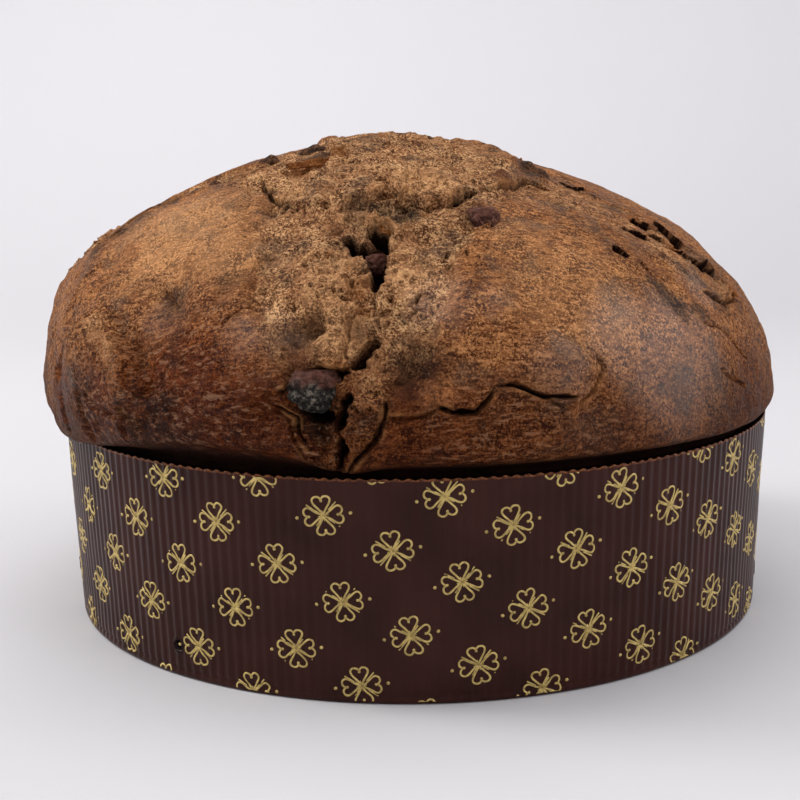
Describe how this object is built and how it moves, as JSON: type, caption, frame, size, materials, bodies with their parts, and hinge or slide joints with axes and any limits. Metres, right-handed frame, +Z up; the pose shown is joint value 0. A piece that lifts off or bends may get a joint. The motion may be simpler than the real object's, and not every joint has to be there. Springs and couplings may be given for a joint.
{
  "type": "chocolate panettone in paper mould",
  "caption": "Low round chocolate panettone with a tall cracked dome that overhangs its corrugated paper mould; stands on the mould's flat floor.",
  "frame": {"origin": "centre of the mould's underside", "axes": "+Z up through the middle of the mould; the widest cut in the crust faces -Y; the dome leans slightly towards -X"},
  "size_m": [0.2272, 0.2262, 0.145],
  "materials": {
    "crust": "mottled dark brown baked crust, satin on the smooth skin, matt and paler where it tore",
    "paper": "satin printed corrugated paper, dark brown with a gold leaf ornament",
    "chocolate": "dull dark chocolate, scorched"
  },
  "bodies": {
    "root": {"loaf": "crust", "paper_mould": "paper", "chocolate_piece_1": "chocolate", "chocolate_piece_2": "chocolate", "chocolate_piece_3": "chocolate", "chocolate_piece_4": "chocolate", "chocolate_piece_5": "chocolate"}
  },
  "joints": []
}
